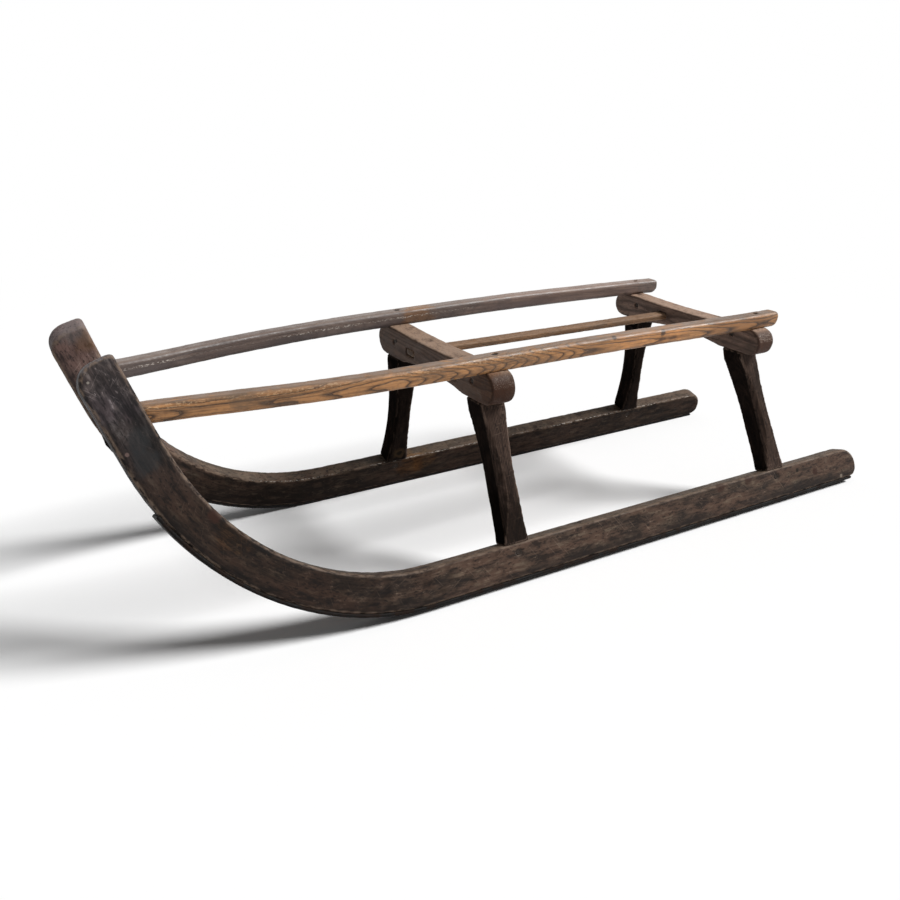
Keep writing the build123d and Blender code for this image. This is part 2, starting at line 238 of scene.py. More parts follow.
@dataclass(frozen=True)
class WoodFinish:
    """An old wood surface: growth rings, fibres, stains, bleached tops, end grain and worn edges, with
    painted shade on faces that look one way and painted highlights along some edges.
    """

    name: str
    late: Colour  # dark line of a growth ring
    early: Colour  # light wood between the lines
    stain: Colour
    bleach: Colour  # tops
    worn: Colour  # edges
    end: Colour  # end grain
    ring_spacing: float = 0.0024
    ring_contrast: float = 0.8
    line_share: float = 0.13  # of a growth ring, in its dark line
    ring_taper: float = 0.0  # growth rings' slope along the stick, which turns lines into arches
    ring_swell: float = 0.0  # slow swelling along the stick, which closes some arches into eyes
    pith: tuple[float, float] = (-0.004, -0.022)
    pith_drift: float = 0.016
    stain_share: float = 0.6
    bleach_share: float = 0.4
    worn_share: float = 0.7
    glint: Colour = (0.55, 0.5, 0.44)  # painted highlight: pale specks of reflected light along the edges
    glint_share: float = 0.0
    glint_way: Place = (0.0, 0.6, 0.8)  # on what faces this way
    glint_spread: tuple[float, float] = (0.95, 0.99)  # cosines where they begin and are full
    glint_top: float = 1.0  # height above the floor where they end
    glint_line: tuple[float, float] = (0.0, 1.0)  # their height in the stick, and how far from it they reach
    glint_fore: tuple[float, float] = (-2.0, -1.0)  # places along the sled where they begin and are full
    end_share: float = 0.8
    crack_share: float = 0.6
    mottle_share: float = 0.3
    speck_share: float = 0.5
    # painted shade: a dark colour on the faces that look one way, standing in for their shadow
    grime: Colour = (0.006, 0.005, 0.005)
    grime_way: Place = (1.0, 0.0, 0.0)  # on the faces that look this way
    grime_share: float = 0.0
    grime_top: float = 1.0  # height above the floor where it ends
    warm: Colour = (0.08, 0.047, 0.033)  # redder patches
    warm_share: float = 0.0
    sole_share: float = 0.0  # darker along the lower side of a stick
    sole_reach: tuple[float, float] = (0.003, 0.015)  # heights in the stick where it fades
    scratch_share: float = 0.0
    cool_share: float = 0.0  # greyer wood high on the uprights
    roughness: float = 0.62
    gloss: float = 0.12
    shades: tuple[Shade, ...] = ()
    marks: tuple[Mark, ...] = ()

    def material(self) -> bpy.types.Material:
        """Build the finish.

        Returns:
            A material that reads the pieces' grain, edge and end attributes.
        """
        made, graph, shader = surface(self.name)
        grain = graph.attribute("grain", "Vector")
        place = graph.add("ShaderNodeTexCoord").outputs["Object"]
        fibre = graph.noise(grain, (16.0, 560.0, 560.0), 3.0)
        blotch = graph.noise(grain, (55.0, 85.0, 85.0), 6.0, 7.7)
        ring = self._ring(graph, grain)
        colour = self._grown(graph, grain, ring, fibre)
        colour = self._aged(graph, grain, place, blotch, colour)
        colour = self._cooled(graph, place, colour)
        colour = self._marked(graph, place, blotch, colour, self.shades, "MULTIPLY")
        colour = self._worn(graph, grain, place, colour)
        colour = self._marked(graph, place, blotch, colour, self.marks, "MIX")
        rough = graph.spread(blotch, 0.25, 0.75, self.roughness + 0.1, self.roughness - 0.12)
        gloss = self._gloss(graph, place)
        relief = graph.math("ADD", graph.product(fibre, 0.6), graph.product(ring, 0.22 * self.ring_contrast))
        normal = graph.bump(graph.math("ADD", relief, graph.product(blotch, 0.7)), 0.0007)
        inputs = {"Base Color": colour, "Roughness": rough, "Specular IOR Level": gloss, "Normal": normal}
        graph.fill(shader, inputs)
        return made

    def _ring(self, graph: Graph, grain: Socket) -> Socket:
        """Place within a growth ring, from 0 at its dark line to 1 at the next one."""
        sides = graph.axes(grain)[1:]
        along = graph.attribute("figure")
        squares = []
        for index, (side, centre) in enumerate(zip(sides, self.pith)):
            drift = graph.noise(grain, (3.0, 0.0, 0.0), 1.5, 5.3 * (index + 1))
            drift = graph.product(graph.math("SUBTRACT", drift, 0.5), self.pith_drift)
            away = graph.math("SUBTRACT", graph.math("SUBTRACT", side, centre), drift)
            squares.append(graph.product(away, away))
        radius = graph.math("SQRT", graph.math("ADD", squares[0], squares[1]))
        radius = graph.math("ADD", radius, graph.product(along, self.ring_taper))
        swell = graph.noise(grain, (5.0, 0.0, 0.0), 1.0, 12.1)
        radius = graph.math("ADD", radius, graph.product(swell, self.ring_swell))
        wobble = graph.noise(grain, (26.0, 90.0, 90.0), 3.0, 1.9)
        radius = graph.math("ADD", radius, graph.product(wobble, 0.9 * self.ring_spacing))
        return graph.math("FRACT", graph.math("DIVIDE", radius, self.ring_spacing))

    def _grown(self, graph: Graph, grain: Socket, ring: Socket, fibre: Socket) -> Socket:
        """Colour of the wood itself: rings, fibres and broad streaks."""
        half = tuple(0.5 * a + 0.5 * b for a, b in zip(self.late, self.early))
        line = self.line_share
        stops = [(0.0, self.late), (line, self.late), (2.6 * line, half), (5.0 * line, self.early)]
        stops += [(0.85, self.early), (1.0, half)]
        colour = graph.mix(self.ring_contrast, graph.mix(fibre, half, self.early), graph.ramp(ring, stops))
        colour = graph.mix(graph.spread(fibre, 0.46, 0.7, 0.0, 0.6), colour, self.late)
        streak = graph.noise(grain, (4.0, 150.0, 150.0), 3.0, 2.6)
        colour = graph.mix(graph.spread(streak, 0.5, 0.72, 0.0, 0.5), colour, self.late)
        crack = graph.noise(grain, (8.0, 300.0, 300.0), 1.0, 4.4)
        return graph.mix(graph.spread(crack, 0.68, 0.72, 0.0, self.crack_share), colour, self.stain)

    def _aged(self, graph: Graph, grain: Socket, place: Socket, blotch: Socket, colour: Socket) -> Socket:
        """Stains, specks, bleached tops, end grain, darker lower sides and painted shade."""
        up = graph.axes(graph.add("ShaderNodeNewGeometry").outputs["Normal"])[2]
        cloud = graph.noise(grain, (9.0, 26.0, 26.0), 4.0, 3.1)
        colour = graph.mix(graph.spread(cloud, 0.54, 0.4, 0.0, self.warm_share), colour, self.warm)
        soil = graph.product(graph.spread(cloud, 0.48, 0.6), graph.spread(blotch, 0.38, 0.54))
        colour = graph.mix(graph.product(soil, self.stain_share), colour, self.stain)
        mottle = graph.noise(grain, (42.0, 150.0, 150.0), 7.0, 11.3)
        colour = graph.mix(graph.spread(mottle, 0.47, 0.66, 0.0, self.mottle_share), colour, self.stain)
        faded = graph.spread(mottle, 0.46, 0.32, 0.0, 0.6 * self.mottle_share)
        colour = graph.mix(faded, colour, self.bleach)
        top = graph.product(graph.spread(up, 0.5, 0.93), graph.spread(blotch, 0.26, 0.5), self.bleach_share)
        colour = graph.mix(top, colour, self.bleach)
        ends = graph.attribute("end")
        colour = graph.mix(graph.product(graph.spread(ends, 0.25, 0.7), self.end_share), colour, self.end)
        speck = graph.noise(grain, (180.0, 420.0, 420.0), 2.0, 6.2)
        colour = graph.mix(graph.spread(speck, 0.54, 0.68, 0.0, self.speck_share), colour, self.stain)
        pale = graph.product(graph.spread(speck, 0.4, 0.28), graph.spread(blotch, 0.46, 0.6))
        colour = graph.mix(graph.product(pale, 0.7 * self.speck_share), colour, self.worn)
        if self.scratch_share:
            colour = graph.mix(self._scratched(graph, grain), colour, self.worn)
        if self.sole_share:
            low = graph.spread(graph.axes(grain)[1], *self.sole_reach, self.sole_share, 0.0)
            darkening = graph.product(low, graph.spread(cloud, 0.38, 0.56, 0.3, 1.0))
            colour = graph.mix(darkening, colour, self.stain)
        # painted shade on the faces that look one way, broken a little by blotches
        if self.grime_share:
            darkening = graph.product(self._grimed(graph, place), graph.spread(blotch, 0.3, 0.6, 0.85, 1.0))
            colour = graph.mix(darkening, colour, self.grime)
        return colour

    def _scratched(self, graph: Graph, grain: Socket) -> Socket:
        """Thin scratches that cross the grain both ways."""
        lines = []
        for turn in (0.6, -0.95):
            inputs = {"Vector": grain, "Angle": turn}
            slant = graph.add("ShaderNodeVectorRotate", inputs, rotation_type="Z_AXIS")
            lines.append(graph.noise(slant.outputs[0], (34.0, 800.0, 60.0), 1.0, 20.0 * turn))
        return graph.spread(graph.math("MAXIMUM", *lines), 0.68, 0.76, 0.0, self.scratch_share)

    def _worn(self, graph: Graph, grain: Socket, place: Socket, colour: Socket) -> Socket:
        """Edges rubbed to lighter wood, with painted highlights: pale glinting specks."""
        edge = graph.attribute("edge")
        scuff = graph.noise(grain, (90.0, 260.0, 260.0), 4.0, 15.1)
        rub = graph.product(graph.spread(edge, 0.3, 0.85), graph.spread(scuff, 0.38, 0.58), self.worn_share)
        colour = graph.mix(rub, colour, self.worn)
        # painted highlights: pale specks along the edges where light would glint
        if self.glint_share:
            spark = graph.spread(graph.noise(grain, (300.0, 800.0, 800.0), 2.0, 8.8), 0.53, 0.6)
            patch = graph.spread(graph.noise(grain, (9.0, 0.0, 0.0), 2.0, 9.4), 0.42, 0.55, 0.15, 1.0)
            top = self.glint_top
            low = graph.spread(graph.axes(place)[2], top - 0.02, top, self.glint_share, 0.0)
            facing = graph.spread(self._facing(graph, self.glint_way), *self.glint_spread)
            level, reach = self.glint_line
            away = graph.math("ABSOLUTE", graph.math("SUBTRACT", graph.axes(grain)[1], level))
            near = graph.spread(away, 0.5 * reach, reach, 1.0, 0.0)
            fore = graph.spread(graph.axes(place)[0], *self.glint_fore)
            colour = graph.mix(graph.product(spark, patch, facing, low, near, fore), colour, self.glint)
        return colour

    def _cooled(self, graph: Graph, place: Socket, colour: Socket) -> Socket:
        """The same colour, greyer high up."""
        if not self.cool_share:
            return colour
        grey = graph.add("ShaderNodeHueSaturation", {"Saturation": 0.35, "Color": colour})
        high = graph.spread(graph.axes(place)[2], 0.15, 0.27, 0.0, self.cool_share)
        return graph.mix(high, colour, grey.outputs[0])

    def _facing(self, graph: Graph, way: Place) -> Socket:
        """How much the surface looks one way: the cosine of the angle between."""
        normal = graph.add("ShaderNodeNewGeometry").outputs["Normal"]
        inputs = {0: normal, 1: Vector(way).normalized()}
        return graph.add("ShaderNodeVectorMath", inputs, operation="DOT_PRODUCT").outputs["Value"]

    def _grimed(self, graph: Graph, place: Socket) -> Socket:
        """How much shade is painted on the surface: on the faces that look the painted shade's way, below its
        top.
        """
        low = graph.spread(graph.axes(place)[2], self.grime_top - 0.08, self.grime_top, self.grime_share, 0.0)
        return graph.product(graph.spread(self._facing(graph, self.grime_way), 0.2, 0.75), low)

    def _gloss(self, graph: Graph, place: Socket) -> object:
        """Reflection, which is dulled where shade is painted."""
        if not self.grime_share:
            return self.gloss
        return graph.spread(self._grimed(graph, place), 0.0, 1.0, self.gloss, 0.0)

    def _marked(
        self, graph: Graph, place: Socket, blotch: Socket, colour: Socket, marks: tuple[Mark, ...], blend: str
    ) -> Socket:
        """Lay single marks or shades with ragged rims over a colour."""
        for mark in marks:
            away = graph.add("ShaderNodeVectorMath", {0: place, 1: mark.place}, operation="DISTANCE")
            rim = graph.product(graph.math("SUBTRACT", blotch, 0.5), 1.6 * mark.radius)
            reach = graph.math("ADD", away.outputs["Value"], rim)
            share = graph.spread(reach, 0.5 * mark.radius, mark.radius, mark.share, 0.0)
            colour = graph.mix(share, colour, mark.colour, blend)
        return colour


@dataclass(frozen=True)
class IronFinish:
    """Forged iron with black scale and rust."""

    name: str = "forged_iron"
    black: Colour = (0.0055, 0.005, 0.0048)
    rust: Colour = (0.013, 0.0075, 0.0055)

    def material(self) -> bpy.types.Material:
        """Build the finish.

        Returns:
            A dark, rough scale on Object coordinates.
        """
        made, graph, shader = surface(self.name)
        place = graph.add("ShaderNodeTexCoord").outputs["Object"]
        scale = graph.noise(place, (70.0, 70.0, 70.0), 5.0)
        pit = graph.noise(place, (400.0, 400.0, 400.0), 3.0, 2.2)
        colour = graph.mix(graph.spread(scale, 0.42, 0.66), self.black, self.rust)
        colour = graph.mix(graph.spread(pit, 0.55, 0.7, 0.0, 0.6), colour, self.black)
        rough = graph.spread(scale, 0.3, 0.7, 0.5, 0.8)
        normal = graph.bump(graph.math("ADD", scale, graph.product(pit, 0.4)), 0.0008)
        inputs = {"Base Color": colour, "Roughness": rough, "Specular IOR Level": 0.08, "Normal": normal}
        graph.fill(shader, inputs)
        return made


RUST_SPOT = (0.03, 0.012, 0.008)
PEG_SHADOW = (0.006, 0.005, 0.004)

DARK = WoodFinish(
    "dark_plank",
    late=(0.019, 0.012, 0.0092),
    early=(0.08, 0.053, 0.038),
    stain=(0.01, 0.007, 0.006),
    bleach=(0.145, 0.107, 0.076),
    worn=(0.19, 0.135, 0.1),
    end=(0.09, 0.075, 0.066),
    ring_contrast=0.3,
    stain_share=0.85,
    worn_share=0.75,
    mottle_share=0.85,
    speck_share=0.75,
    # painted shade on the runner's inner face, low down
    grime=(0.009, 0.006, 0.0048),
    grime_way=(0.0, -0.95, -0.3),
    grime_share=0.62,
    grime_top=0.14,
    warm=(0.086, 0.049, 0.034),
    warm_share=0.65,
    sole_share=0.85,
    scratch_share=0.36,
    cool_share=0.7,
    shades=(
        Shade((0.4, 0.13, 0.13), 0.28, (0.37, 0.34, 0.33)),
        Shade((0.505, 0.088, 0.29), 0.05, (2.2, 2.2, 2.4)),
        Shade((0.403, 0.1378, 0.1331), 0.022, (1.5, 1.3, 1.0)),
        Shade((0.4994, 0.1045, 0.242), 0.06, (0.8, 0.85, 0.95)),
    ),
    marks=(
        Mark((0.5103, 0.0885, 0.2945), 0.0014, (0.26, 0.23, 0.2), 0.7),
        Mark((0.4889, 0.1092, 0.2265), 0.0024, (0.16, 0.105, 0.092), 0.6),
        Mark((0.4767, 0.1058, 0.2379), 0.016, (0.02, 0.021, 0.022), 0.6),
        Mark((0.4733, 0.1121, 0.2171), 0.017, (0.018, 0.019, 0.02), 0.6),
        Mark((-0.4327, 0.169, 0.0311), 0.006, RUST_SPOT),
        Mark((-0.247, 0.1642, 0.0466), 0.009, RUST_SPOT, 0.7),
        Mark((-0.2995, 0.1647, 0.0452), 0.008, RUST_SPOT, 0.7),
        Mark((-0.3963, 0.1664, 0.0396), 0.003, PEG_SHADOW),
        Mark((-0.4865, 0.1744, 0.0134), 0.004, (0.2, 0.165, 0.13)),
        Mark((0.4188, 0.1308, 0.156), 0.009, RUST_SPOT, 0.8),
    ),
)
DARK_FAR = replace(
    DARK,
    name="dark_plank_far",
    # painted shade on the far runner's inner face, low down
    grime_way=(0.0, 0.95, -0.3),
    # painted highlights along the far runner's inner top edge
    glint_share=0.75,
    glint_way=(0.0, 0.883, 0.469),
    glint_top=0.1,
    cool_share=0.3,
    shades=(
        # painted light: brightens the far upright, whose inner face gets little of the sun
        Shade((0.48, -0.09, 0.26), 0.17, (2.05, 1.85, 2.0)),
        Shade((0.0564, -0.1456, 0.0324), 0.026, (1.6, 1.25, 0.85)),
        Shade((0.0313, -0.1458, 0.0318), 0.022, (1.4, 1.2, 0.9)),
    ),
    marks=(
        Mark((0.4938, -0.0637, 0.3114), 0.024, (0.17, 0.15, 0.145), 0.4),
        Mark((0.4821, -0.0662, 0.2919), 0.016, (0.17, 0.09, 0.045), 0.4),
    ),
)
LEG = WoodFinish(
    "leg_wood",
    late=(0.012, 0.008, 0.0065),
    early=(0.072, 0.045, 0.034),
    stain=(0.008, 0.0058, 0.005),
    bleach=(0.085, 0.058, 0.044),
    worn=(0.16, 0.11, 0.085),
    end=(0.03, 0.023, 0.019),
    ring_spacing=0.0018,
    ring_contrast=0.6,
    stain_share=0.4,
    worn_share=0.6,
    mottle_share=0.35,
    speck_share=0.6,
    # painted shade, near black, on the legs' front faces
    grime=(0.005, 0.004, 0.0038),
    grime_way=(0.85, -0.5, 0.0),
    grime_share=0.9,
    scratch_share=0.3,
    gloss=0.06,
    shades=(Shade((0.085, 0.16, 0.05), 0.09, (0.3, 0.28, 0.26)),),
)
LEG_FAR = replace(
    LEG,
    name="leg_wood_far",
    worn_share=0.12,
    shades=(),
    # painted shade, near black, on the far legs' front and inner faces
    grime=(0.0014, 0.0013, 0.0013),
    grime_way=(0.75, 0.66, 0.0),
    grime_share=0.94,
    marks=(
        Mark((0.0785, -0.1367, 0.0574), 0.012, (0.05, 0.031, 0.017), 0.6),
        Mark((0.0785, -0.1367, 0.0574), 0.006, PEG_SHADOW, 0.8),
    ),
)
BAR = WoodFinish(
    "crossbar_wood",
    late=(0.045, 0.028, 0.021),
    early=(0.16, 0.104, 0.076),
    stain=(0.036, 0.024, 0.019),
    bleach=(0.31, 0.21, 0.148),
    worn=(0.032, 0.019, 0.014),
    end=(0.041, 0.018, 0.0105),
    bleach_share=0.85,
    end_share=0.85,
    stain_share=0.4,
    worn_share=0.55,
    mottle_share=0.2,
    # painted highlights on the top of the bullnose ends
    glint=(0.6, 0.5, 0.42),
    glint_share=0.7,
    glint_way=(0.0, 0.85, 0.53),
    glint_spread=(0.9, 0.97),
    # painted shade on the crossbar's front face
    grime=(0.06, 0.04, 0.033),
    grime_share=0.45,
    shades=(Shade((0.108, 0.132, 0.235), 0.036, (0.72, 0.58, 0.48)),),
    marks=(Mark((0.1034, -0.0889, 0.2353), 0.0035, PEG_SHADOW),),
)
BAR_REAR = replace(
    BAR,
    name="crossbar_wood_rear",
    grime_share=0.0,
    shades=(Shade((-0.31, 0.0, 0.24), 0.2, (1.3, 1.3, 1.35)),),
    marks=(),
)
RAIL_GOLD = WoodFinish(
    "golden_ash",
    late=(0.034, 0.016, 0.0085),
    early=(0.43, 0.205, 0.077),
    stain=(0.1, 0.058, 0.034),
    bleach=(0.175, 0.114, 0.076),
    worn=(0.42, 0.27, 0.15),
    end=(0.15, 0.092, 0.055),
    ring_spacing=0.0019,
    ring_contrast=0.9,
    line_share=0.075,
    ring_taper=-0.11,
    ring_swell=0.004,
    pith=(-0.002, 0.001),
    pith_drift=0.006,
    stain_share=0.5,
    bleach_share=0.75,
    worn_share=0.2,
    crack_share=0.75,
    speck_share=0.3,
    roughness=0.45,
    gloss=0.35,
    # painted highlights: pale flecks on the rail's upper side
    glint=(0.62, 0.43, 0.25),
    glint_share=0.36,
    glint_way=(0.0, 0.87, 0.5),
    glint_spread=(0.82, 0.95),
    glint_fore=(-0.1, 0.0),
    shades=(
        Shade((-0.1306, 0.1297, 0.2653), 0.075, (1.35, 1.3, 1.25)),
        Shade((-0.2838, 0.1307, 0.2597), 0.075, (0.74, 0.72, 0.7)),
    ),
    marks=(
        Mark((-0.075, 0.1288, 0.2664), 0.004, (0.03, 0.018, 0.012)),
        Mark((-0.1508, 0.1307, 0.2641), 0.005, (0.035, 0.02, 0.013)),
        Mark((0.3748, 0.1026, 0.263), 0.018, (0.12, 0.075, 0.045), 0.5),
        Mark((0.484, 0.082, 0.2545), 0.024, PEG_SHADOW, 1.0),
    ),
)
RAIL_GREY = replace(
    RAIL_GOLD,
    name="grey_ash",
    late=(0.045, 0.032, 0.028),
    early=(0.155, 0.112, 0.092),
    stain=(0.075, 0.057, 0.053),
    bleach=(0.2, 0.15, 0.124),
    worn=(0.2, 0.152, 0.124),
    ring_contrast=0.4,
    # painted highlights: a dotted line of glints along the rail's inner arris
    glint=(0.5, 0.45, 0.4),
    glint_share=0.75,
    glint_way=(0.0, 1.0, 0.0),
    glint_spread=(0.5, 0.7),
    glint_line=(0.0012, 0.0016),
    glint_fore=(-0.06, 0.05),
    sole_share=0.95,
    sole_reach=(-0.001, 0.0012),
    shades=(
        Shade((0.3, -0.1, 0.255), 0.11, (0.75, 0.71, 0.7)),
        Shade((-0.2, -0.12, 0.262), 0.2, (1.4, 1.3, 1.25)),
        Shade((0.0575, -0.1087, 0.2584), 0.03, (1.35, 1.0, 0.65)),
    ),
    marks=(Mark((0.484, -0.082, 0.2545), 0.024, PEG_SHADOW, 1.0),),
)
SLAT = WoodFinish(
    "slat_wood",
    late=(0.065, 0.036, 0.02),
    early=(0.25, 0.135, 0.07),
    stain=(0.085, 0.057, 0.04),
    bleach=(0.26, 0.165, 0.108),
    worn=(0.32, 0.22, 0.15),
    end=(0.045, 0.03, 0.022),
    ring_spacing=0.002,
    line_share=0.1,
    bleach_share=0.6,
    worn_share=0.3,
)
PEG = WoodFinish(
    "peg_wood",
    late=(0.01, 0.0075, 0.006),
    early=(0.04, 0.028, 0.021),
    stain=(0.008, 0.0065, 0.005),
    bleach=(0.05, 0.037, 0.029),
    worn=(0.05, 0.037, 0.028),
    end=(0.028, 0.02, 0.016),
    ring_spacing=0.0012,
    pith=(0.0, 0.0),
    pith_drift=0.0,
)


def linked(data: bpy.types.ID) -> bpy.types.Object:
    """Put a mesh, lamp or camera into the scene as a new object of its name, at the origin."""
    made = bpy.data.objects.new(data.name, data)
    bpy.context.scene.collection.objects.link(made)
    return made


def mesh_from(shape: bmesh.types.BMesh, name: str) -> bpy.types.Mesh:
    """Turn a bmesh into a mesh and free it."""
    mesh = bpy.data.meshes.new(name)
    shape.to_mesh(mesh)
    shape.free()
    return mesh


def caps_of(shape: bmesh.types.BMesh) -> list[bmesh.types.BMFace]:
    """The faces with more than four corners."""
    return [face for face in shape.faces if len(face.verts) > 4]


def bevel_rims(shape: bmesh.types.BMesh, offset: float) -> None:
    """Round the rims of all the caps of a shape."""
    rims = list(dict.fromkeys(edge for face in caps_of(shape) for edge in face.edges))
    bmesh.ops.bevel(shape, geom=rims, offset=offset, segments=2, profile=0.5, affect="EDGES", material=-1)


def rows(source: bpy.types.bpy_prop_collection, what: str) -> np.ndarray:
    """One vector property of a mesh's vertices, as rows of three numbers."""
    flat = np.empty(len(source) * 3)
    source.foreach_get(what, flat)
    return flat.reshape(-1, 3)


def store(mesh: bpy.types.Mesh, name: str, values: np.ndarray) -> None:
    """Keep a number or a vector for each vertex as an attribute that the finishes read."""
    kind, what = ("FLOAT_VECTOR", "vector") if values.ndim == 2 else ("FLOAT", "value")
    made = mesh.attributes.new(name, kind, "POINT")
    made.data.foreach_set(what, values.astype(np.float32).ravel())


@dataclass(frozen=True)
class PegLine:
    """Where a peg lies."""

    centre: np.ndarray
    axis: np.ndarray
    radius: float
    half_length: float


def peg_lines() -> dict[str, PegLine]:
    """The line of each peg, from its solid."""
    lines = {}
    for node in (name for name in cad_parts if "_peg_" in name):
        points = rows(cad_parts[node].data.vertices, "co")
        centre = (points.min(axis=0) + points.max(axis=0)) / 2
        axis = np.linalg.eigh(np.cov((points - centre).T))[1][:, 2]
        along = (points - centre) @ axis
        radius = np.linalg.norm(np.cross(points - centre, axis), axis=1).max()
        lines[node] = PegLine(centre, axis, float(radius), float(along.max()))
    return lines


@dataclass
class Skin:
    """Even, worn skin over a copy of one solid."""

    node: str
    name: str
    seed: float
    voxel: float = 0.0015
    soften: int = 2
    chip: float = 0.0009
    wave: float = 0.0003
    grow: float = 0.0003
    edge_rounds: int = 4  # of relaxing, to tell the edges
    edge_full: float = 0.35  # of a voxel, that a full edge stands out
    coarse: float = 18.0  # lumps per metre
    fine: float = 110.0
    piece: bpy.types.Object = field(init=False)

    def __post_init__(self) -> None:
        """Copy the solid, remesh the copy and wear its edges."""
        shape = bmesh.new()
        shape.from_mesh(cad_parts[self.node].data)
        bmesh.ops.remove_doubles(shape, verts=shape.verts, dist=WELD)
        solid = BVHTree.FromBMesh(shape)
        self.piece = linked(mesh_from(shape, self.name))
        remesh = self.piece.modifiers.new("even_skin", "REMESH")
        remesh.mode = "VOXEL"
        remesh.voxel_size = self.voxel
        evaluated = self.piece.evaluated_get(bpy.context.evaluated_depsgraph_get())
        mesh = bpy.data.meshes.new_from_object(evaluated)
        self.piece.modifiers.clear()
        self.piece.data = mesh
        mesh.name = self.name
        self._wear(mesh, solid)

    def _wear(self, mesh: bpy.types.Mesh, solid: BVHTree) -> None:
        """Lay the skin on its solid, soften it and chip its edges."""
        points = np.array([solid.find_nearest(point)[0] for point in rows(mesh.vertices, "co")])
        points = self._relaxed(points, self.soften)
        self.move(points)
        normals = rows(mesh.vertices, "normal")
        stand = np.einsum("ij,ij->i", points - self._relaxed(points, self.edge_rounds), normals)
        edge = np.clip(stand / (self.edge_full * self.voxel), 0.0, 1.0) * self._clear_of_pegs(points)
        shift = Vector((self.seed, 2.0 * self.seed, 3.0 * self.seed))
        coarse = np.array([noise.noise(Vector(point) * self.coarse + shift) for point in points])
        fine = np.array([noise.noise(Vector(point) * self.fine + shift) for point in points])
        bite = self.chip * edge * np.clip(fine + 0.5 * coarse, 0.0, 1.0)
        self.move(points + normals * (self.grow + self.wave * coarse - bite)[:, None])
        store(mesh, "edge", edge)

    @property
    def points(self) -> np.ndarray:
        """Where the skin's vertices are."""
        return rows(self.piece.data.vertices, "co")

    def move(self, points: np.ndarray) -> None:
        """Move the skin's vertices to these points."""
        self.piece.data.vertices.foreach_set("co", points.ravel())
        self.piece.data.update()

    def _clear_of_pegs(self, points: np.ndarray) -> np.ndarray:
        """Zero at the rims of the peg holes, which are filled and don't wear, and one elsewhere."""
        clear = np.ones(len(points))
        for peg in peg_lines().values():
            away = np.cross(points - peg.centre, peg.axis)
            clear[np.linalg.norm(away, axis=1) < 1.7 * peg.radius] = 0.0
        return clear

    def _relaxed(self, points: np.ndarray, rounds: int) -> np.ndarray:
        """Move each vertex to the mean of its neighbours, some rounds in a row."""
        mesh = self.piece.data
        ends = np.empty(len(mesh.edges) * 2, dtype=np.int64)
        mesh.edges.foreach_get("vertices", ends)
        first, second = ends[0::2], ends[1::2]
        size = len(points)
        count = np.bincount(ends, minlength=size).astype(float)
        for _ in range(rounds):
            sums = np.empty_like(points)
            for axis in range(3):
                sums[:, axis] = np.bincount(first, points[second, axis], size)
                sums[:, axis] += np.bincount(second, points[first, axis], size)
            points = sums / count[:, None]
        return points

    def lay_grain(
        self,
        along: np.ndarray,
        across: np.ndarray,
        through: np.ndarray,
        run: np.ndarray,
        figure: np.ndarray | None = None,
    ) -> None:
        """Store each vertex's place in the stick.

        Args:
            along: distance along the grain, in metres.
            across: distance from the stick's middle line, one way.
            through: distance from it the other way.
            run: the grain's direction, one for the piece or one for each vertex.
            figure: place along the growth rings' slope, if it isn't the distance along the grain.
        """
        mesh = self.piece.data
        store(mesh, "grain", np.stack([along + 3.0 * self.seed, across, through], axis=1))
        store(mesh, "figure", along if figure is None else figure)
        normals = rows(mesh.vertices, "normal")
        store(mesh, "end", np.abs(np.sum(normals * run, axis=1)))

    def lay_straight_grain(self, out: Place) -> None:
        """Run the grain along the piece's longest direction.

        Args:
            out: the tree's outward direction, roughly across the piece.
        """
        points = self.points
        centred = points - points.mean(axis=0)
        along = np.linalg.eigh(np.cov(centred.T))[1][:, 2]
        through = np.array(out) - along * np.dot(out, along)
        through /= np.linalg.norm(through)
        across = np.cross(through, along)
        self.lay_grain(centred @ along, centred @ across, centred @ through, along)


def dress(piece: bpy.types.Object, material: bpy.types.Material, slot: str, *nodes: str) -> None:
    """Finish a piece: its material, its body and the nodes whose place it takes.

    Args:
        piece: the new piece.
        material: its finish.
        slot: the record's material slot; not used.
        *nodes: the CAD nodes that it stands for.
    """
    piece.data.materials.clear()
    piece.data.materials.append(material)
    piece.data.shade_smooth()
    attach(piece, ROOT)
    if nodes:
        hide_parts(*nodes)
    log.info("%s: %d faces", piece.name, len(piece.data.polygons))


@dataclass
class SideFrame:
    """Leaning plane of one side: the runner's line, drawn flat in it."""

    hand: Hand
    track_half: float = 0.166
    splay: float = math.radians(17.0)
    thickness: float = 0.022
    shoe: float = 0.003
    sole_radius: float = 0.314
    lean: float = math.radians(19.5)
    shoe_wrap: float = math.radians(61.5)

    def __post_init__(self) -> None:
        """Work out the plane's directions and where the sole begins to bend."""
        side = self.hand.value
        self.up = np.array([0.0, -side * math.sin(self.splay), math.cos(self.splay)])
        self.out = np.array([0.0, side * math.cos(self.splay), math.sin(self.splay)])
        self.origin = np.array([0.0, side * self.track_half, self.thickness / 2 * math.sin(self.splay)])
        shoe_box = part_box(f"shoe_{self.hand.word}")
        self.bend_x = shoe_box[1][0] - (self.sole_radius + self.shoe) * math.sin(self.shoe_wrap)

    def flat(self, points: np.ndarray) -> tuple[np.ndarray, np.ndarray, np.ndarray]:
        """Places in the plane: forward, up from the sole's wood, and outward."""
        local = points - self.origin
        return local[:, 0], local @ self.up - self.shoe, local @ self.out

    def on_shoe(self, along: float) -> tuple[Vector, Vector]:
        """A point on the shoe's underside and its outward direction.

        Args:
            along: distance along the sole, ahead of the start of the bend.

        Returns:
            The point and the direction.
        """
        turn = max(0.0, along / self.sole_radius)
        normal = np.array([math.sin(turn), 0.0, 0.0]) - math.cos(turn) * self.up
        reach = self.sole_radius + self.shoe
        centre = self.origin + (self.shoe + self.sole_radius) * self.up + np.array([self.bend_x, 0.0, 0.0])
        point = centre + reach * normal + np.array([min(0.0, along), 0.0, 0.0])
        return Vector(point), Vector(normal)


